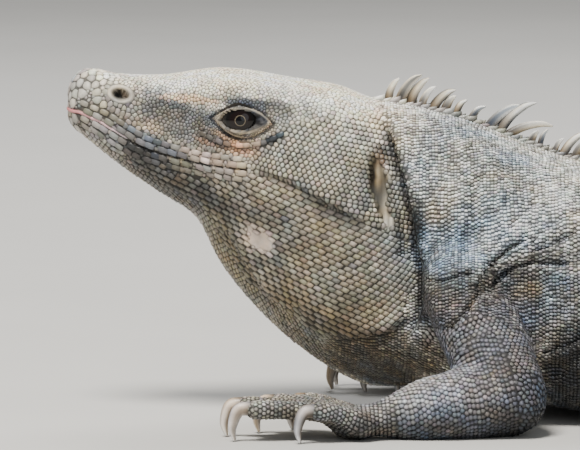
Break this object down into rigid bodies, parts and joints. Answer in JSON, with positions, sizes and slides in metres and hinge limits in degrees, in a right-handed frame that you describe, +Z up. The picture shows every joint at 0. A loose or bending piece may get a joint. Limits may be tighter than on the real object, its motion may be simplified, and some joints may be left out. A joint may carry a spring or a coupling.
{
  "type": "spiny-tailed iguana, still life-size model",
  "caption": "A big male black spiny-tailed iguana lying at rest with its head raised, a full throat pouch, a ragged crest of spines and a long tapering tail.",
  "frame": {"origin": "under the middle of the whole animal, on the floor", "axes": "the snout points along -X and the tail runs towards +X, the animal's left side is -Y, +Z is up"},
  "size_m": [1.033, 0.415, 0.0969],
  "materials": {
    "skin": "dry scaly skin, matt with a faint sheen on the scales",
    "eyes": "wet gloss over a dark brown iris"
  },
  "bodies": {
    "root": {"head": "skin", "lower_jaw": "skin", "throat_pouch": "skin", "neck": "skin", "trunk": "skin", "tail_base": "skin", "tail_middle": "skin", "tail_tip": "skin", "upper_arm_left": "skin", "upper_arm_right": "skin", "forearm_left": "skin", "forearm_right": "skin", "hand_left": "skin", "hand_right": "skin", "thigh_left": "skin", "thigh_right": "skin", "shin_left": "skin", "shin_right": "skin", "foot_left": "skin", "foot_right": "skin", "eye_left": "eyes", "eye_right": "eyes"}
  },
  "joints": []
}
